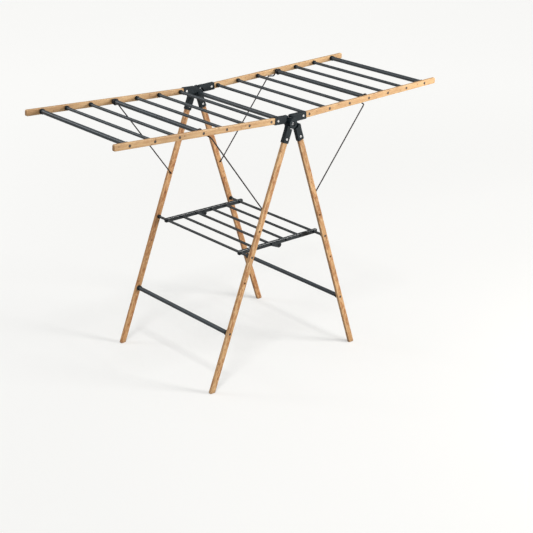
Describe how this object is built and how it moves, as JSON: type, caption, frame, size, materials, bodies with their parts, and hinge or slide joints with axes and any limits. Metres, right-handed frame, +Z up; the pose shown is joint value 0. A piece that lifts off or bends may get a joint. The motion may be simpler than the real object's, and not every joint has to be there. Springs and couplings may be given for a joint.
{
  "type": "folding clothes airer",
  "caption": "Free-standing folding clothes airer: two bamboo A-frame leg pairs, two hinged gull wings of steel hanging tubes, wire struts and a folding rod shelf.",
  "frame": {"origin": "on the floor, midway between the four feet, under the hub axis", "axes": "+X along the right wing (span), +Y from the near side to the far side (depth), +Z up"},
  "size_m": [1.4982, 0.5592, 0.9906],
  "materials": {
    "bamboo": "satin clear-lacquered bamboo with visible grain",
    "tube_paint": "satin anthracite powder coat",
    "black_plastic": "fine matt moulded texture",
    "shelf_bar": "satin anthracite powder coat",
    "strut_wire": "semi-matt dark coated wire",
    "zinc_screw": "zinc plated"
  },
  "bodies": {
    "leg_frame_left": {"leg_left_near": "bamboo", "leg_left_far": "bamboo", "leg_left_hub_cap_near": "black_plastic", "leg_left_hub_cap_far": "black_plastic", "leg_left_crossbar": "tube_paint", "leg_left_crossbar_ferrules": "black_plastic", "leg_left_screws": "zinc_screw", "pivot_axle_tube": "tube_paint", "pivot_bolts": "zinc_screw"},
    "leg_frame_right": {"leg_right_near": "bamboo", "leg_right_far": "bamboo", "leg_right_hub_cap_near": "black_plastic", "leg_right_hub_cap_far": "black_plastic", "leg_right_crossbar": "tube_paint", "leg_right_crossbar_ferrules": "black_plastic", "leg_right_screws": "zinc_screw"},
    "wing_left": {"wing_left_rail_near": "bamboo", "wing_left_rail_far": "bamboo", "wing_left_hub_cap_near": "black_plastic", "wing_left_hub_cap_far": "black_plastic", "wing_left_tube_1": "tube_paint", "wing_left_tube_2": "tube_paint", "wing_left_tube_3": "tube_paint", "wing_left_tube_4": "tube_paint", "wing_left_tube_5": "tube_paint", "wing_left_tube_6": "tube_paint", "wing_left_tube_7": "tube_paint", "wing_left_tube_ferrules": "black_plastic", "wing_left_screws": "zinc_screw"},
    "wing_right": {"wing_right_rail_near": "bamboo", "wing_right_rail_far": "bamboo", "wing_right_hub_cap_near": "black_plastic", "wing_right_hub_cap_far": "black_plastic", "wing_right_tube_1": "tube_paint", "wing_right_tube_2": "tube_paint", "wing_right_tube_3": "tube_paint", "wing_right_tube_4": "tube_paint", "wing_right_tube_5": "tube_paint", "wing_right_tube_6": "tube_paint", "wing_right_tube_7": "tube_paint", "wing_right_tube_ferrules": "black_plastic", "wing_right_screws": "zinc_screw"},
    "shelf_left": {"shelf_left_bar_near": "shelf_bar", "shelf_left_bar_far": "shelf_bar", "shelf_tube_1": "tube_paint", "shelf_tube_2": "tube_paint", "shelf_tube_3": "tube_paint", "shelf_left_ferrules": "black_plastic", "shelf_hinge_pins": "zinc_screw"},
    "shelf_right": {"shelf_right_bar_near": "shelf_bar", "shelf_right_bar_far": "shelf_bar", "shelf_tube_4": "tube_paint", "shelf_tube_5": "tube_paint", "shelf_tube_6": "tube_paint", "shelf_right_ferrules": "black_plastic"},
    "strut_left_near": {"strut_rod_left_near": "strut_wire"},
    "strut_left_far": {"strut_rod_left_far": "strut_wire"},
    "strut_right_near": {"strut_rod_right_near": "strut_wire"},
    "strut_right_far": {"strut_rod_right_far": "strut_wire"}
  },
  "joints": [
    {"name": "leg_fold", "type": "hinge", "parent": "leg_frame_left", "child": "leg_frame_right", "pos_m": [0, 0, 0.937], "axis": [0, 1, 0], "range_deg": [0, 39.4]},
    {"name": "wing_left_fold", "type": "hinge", "parent": "leg_frame_left", "child": "wing_left", "pos_m": [0, 0, 0.937], "axis": [0, -1, 0], "range_deg": [0, 65]},
    {"name": "wing_right_fold", "type": "hinge", "parent": "leg_frame_right", "child": "wing_right", "pos_m": [0, 0, 0.937], "axis": [0, 1, 0], "range_deg": [0, 65]},
    {"name": "shelf_left_fold", "type": "hinge", "parent": "leg_frame_left", "child": "shelf_left", "pos_m": [-0.17845, 0, 0.48065], "axis": [0, -1, 0], "range_deg": [0, 69.01]},
    {"name": "shelf_middle_fold", "type": "hinge", "parent": "shelf_left", "child": "shelf_right", "pos_m": [0, 0, 0.47065], "axis": [0, 1, 0], "range_deg": [0, 177.37]},
    {"name": "strut_left_near_swing", "type": "hinge", "parent": "wing_left", "child": "strut_left_near", "pos_m": [-0.38917, 0, 0.96596], "axis": [0, 1, 0], "range_deg": [0, 122.73]},
    {"name": "strut_left_far_swing", "type": "hinge", "parent": "wing_left", "child": "strut_left_far", "pos_m": [-0.38917, 0, 0.96596], "axis": [0, 1, 0], "range_deg": [0, 122.73]},
    {"name": "strut_right_near_swing", "type": "hinge", "parent": "wing_right", "child": "strut_right_near", "pos_m": [0.38917, 0, 0.96596], "axis": [0, -1, 0], "range_deg": [0, 122.73]},
    {"name": "strut_right_far_swing", "type": "hinge", "parent": "wing_right", "child": "strut_right_far", "pos_m": [0.38917, 0, 0.96596], "axis": [0, -1, 0], "range_deg": [0, 122.73]}
  ],
  "couplings": [
    {"joint": "shelf_left_fold", "follows": "leg_fold", "ratio": 1.7502},
    {"joint": "shelf_middle_fold", "follows": "leg_fold", "ratio": 4.5005},
    {"joint": "strut_left_near_swing", "follows": "wing_left_fold", "ratio": 1.8874},
    {"joint": "strut_left_far_swing", "follows": "wing_left_fold", "ratio": 1.8874},
    {"joint": "strut_right_near_swing", "follows": "wing_right_fold", "ratio": 1.8874},
    {"joint": "strut_right_far_swing", "follows": "wing_right_fold", "ratio": 1.8874}
  ]
}
